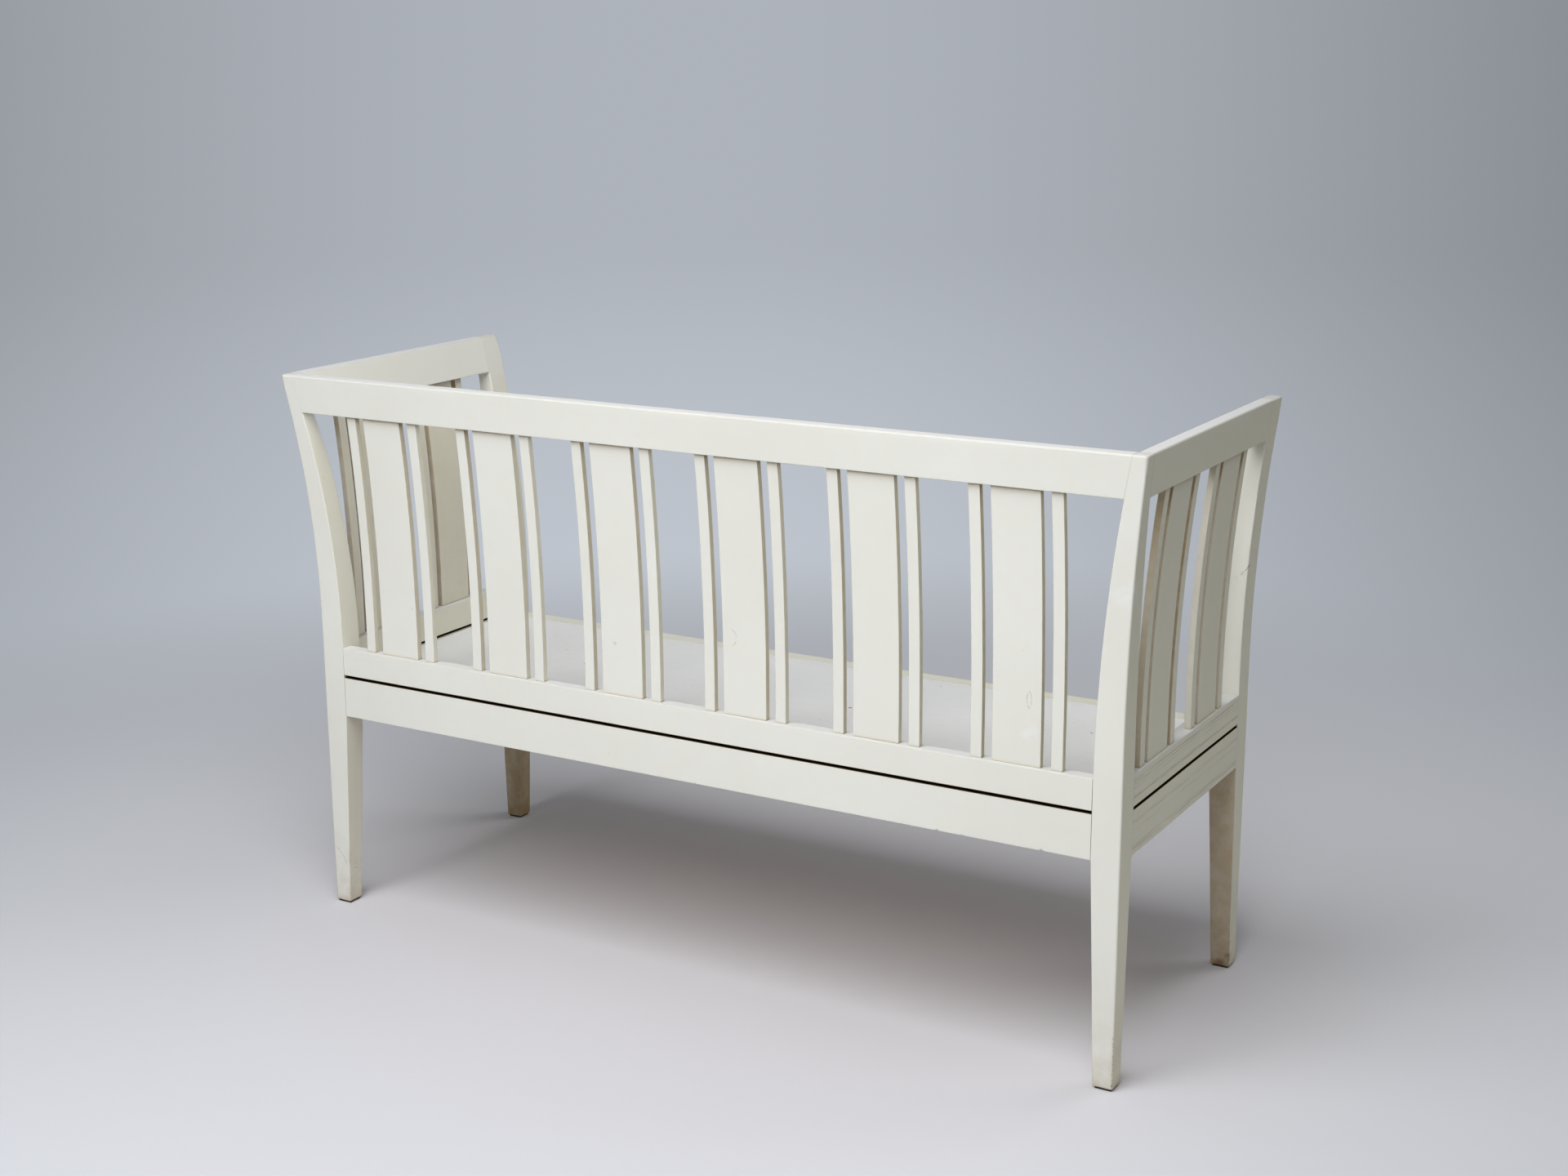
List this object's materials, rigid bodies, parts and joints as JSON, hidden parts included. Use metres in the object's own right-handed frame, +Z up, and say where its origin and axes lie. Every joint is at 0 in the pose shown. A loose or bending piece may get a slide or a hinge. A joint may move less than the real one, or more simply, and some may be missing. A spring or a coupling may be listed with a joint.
{
  "type": "pull-out bench bed",
  "caption": "Painted bench with slatted back and ends; its seat frame of interleaved slats pulls out to the front on fold-down legs to make a bed.",
  "frame": {"origin": "on the floor under the middle of the whole bench", "axes": "+Z up, +X along the seat's length, the open front faces -Y and the slatted back stands at +Y"},
  "size_m": [1.4572, 0.54, 0.9005],
  "materials": {
    "ivory_paint": "aged ivory oil paint on pine, satin, with hairline joint cracks",
    "board_paint": "cool grey-white matt paint on a softwood board",
    "bare_wood": "bare aged pine",
    "steel": "dark aged steel",
    "felt": "dark felt glide"
  },
  "bodies": {
    "carcass": {"back_apron": "ivory_paint", "back_crest_rail": "ivory_paint", "back_left_post": "ivory_paint", "back_lower_rail": "ivory_paint", "back_narrow_slat_1": "ivory_paint", "back_narrow_slat_10": "ivory_paint", "back_narrow_slat_11": "ivory_paint", "back_narrow_slat_12": "ivory_paint", "back_narrow_slat_2": "ivory_paint", "back_narrow_slat_3": "ivory_paint", "back_narrow_slat_4": "ivory_paint", "back_narrow_slat_5": "ivory_paint", "back_narrow_slat_6": "ivory_paint", "back_narrow_slat_7": "ivory_paint", "back_narrow_slat_8": "ivory_paint", "back_narrow_slat_9": "ivory_paint", "back_right_post": "ivory_paint", "back_slat_ledger": "bare_wood", "back_wide_slat_1": "ivory_paint", "back_wide_slat_2": "ivory_paint", "back_wide_slat_3": "ivory_paint", "back_wide_slat_4": "ivory_paint", "back_wide_slat_5": "ivory_paint", "back_wide_slat_6": "ivory_paint", "fixed_bed_slats": "bare_wood", "fixed_slat_screws": "steel", "foot_pads": "felt", "front_cross_rail": "bare_wood", "front_left_post": "ivory_paint", "front_right_post": "ivory_paint", "left_apron": "ivory_paint", "left_arm_rail": "ivory_paint", "left_lower_rail": "ivory_paint", "left_narrow_slat_1": "ivory_paint", "left_narrow_slat_2": "ivory_paint", "left_narrow_slat_3": "ivory_paint", "left_narrow_slat_4": "ivory_paint", "left_wide_slat_1": "ivory_paint", "left_wide_slat_2": "ivory_paint", "right_apron": "ivory_paint", "right_arm_rail": "ivory_paint", "right_lower_rail": "ivory_paint", "right_narrow_slat_1": "ivory_paint", "right_narrow_slat_2": "ivory_paint", "right_narrow_slat_3": "ivory_paint", "right_narrow_slat_4": "ivory_paint", "right_wide_slat_1": "ivory_paint", "right_wide_slat_2": "ivory_paint"},
    "pullout": {"pullout_front_apron": "ivory_paint", "pullout_front_batten": "bare_wood", "pullout_rear_batten": "bare_wood", "pullout_bed_slats": "bare_wood", "pullout_slat_screws": "steel", "leg_pivot_bolts": "steel"},
    "left_fold_leg": {"left_fold_leg": "bare_wood"},
    "right_fold_leg": {"right_fold_leg": "bare_wood"},
    "seat_board": {"seat_board": "board_paint"}
  },
  "joints": [
    {"name": "pull_out", "type": "slide", "parent": "carcass", "child": "pullout", "axis": [0, -1, 0], "range_m": [0, 0.33]},
    {"name": "left_leg_fold", "type": "hinge", "parent": "pullout", "child": "left_fold_leg", "pos_m": [-0.614, -0.20973, 0.345], "axis": [0, 1, 0], "range_deg": [0, 90]},
    {"name": "right_leg_fold", "type": "hinge", "parent": "pullout", "child": "right_fold_leg", "pos_m": [0.614, -0.20973, 0.345], "axis": [0, -1, 0], "range_deg": [0, 90]},
    {"name": "seat_board_lift", "type": "slide", "parent": "carcass", "child": "seat_board", "axis": [0, 0, 1], "range_m": [0, 0.52]}
  ]
}
